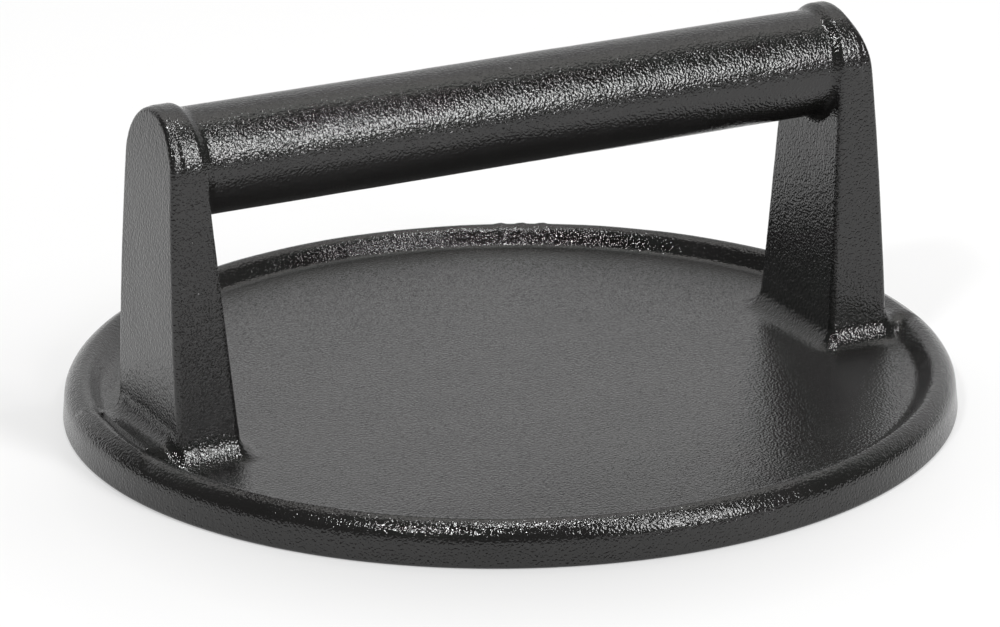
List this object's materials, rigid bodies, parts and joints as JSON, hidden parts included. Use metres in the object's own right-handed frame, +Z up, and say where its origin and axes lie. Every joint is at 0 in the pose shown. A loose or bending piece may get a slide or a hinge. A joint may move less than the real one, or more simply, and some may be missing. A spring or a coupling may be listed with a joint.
{
  "type": "patty press",
  "caption": "Black cast-iron patty press: a round plate with a low raised rim, and a thick round grip bar on tapering uprights",
  "frame": {"origin": "centre of the flat pressing face, on the surface that the press rests on", "axes": "+Z up, away from the pressing face; +X along the grip bar towards right_upright; +Y across the grip bar, away from the viewer"},
  "size_m": [0.1808, 0.1808, 0.0734],
  "materials": {
    "black_coat": "semi-gloss black coat over as-cast iron"
  },
  "bodies": {
    "root": {"press_plate": "black_coat", "left_upright": "black_coat", "right_upright": "black_coat", "grip_bar": "black_coat"}
  },
  "joints": []
}
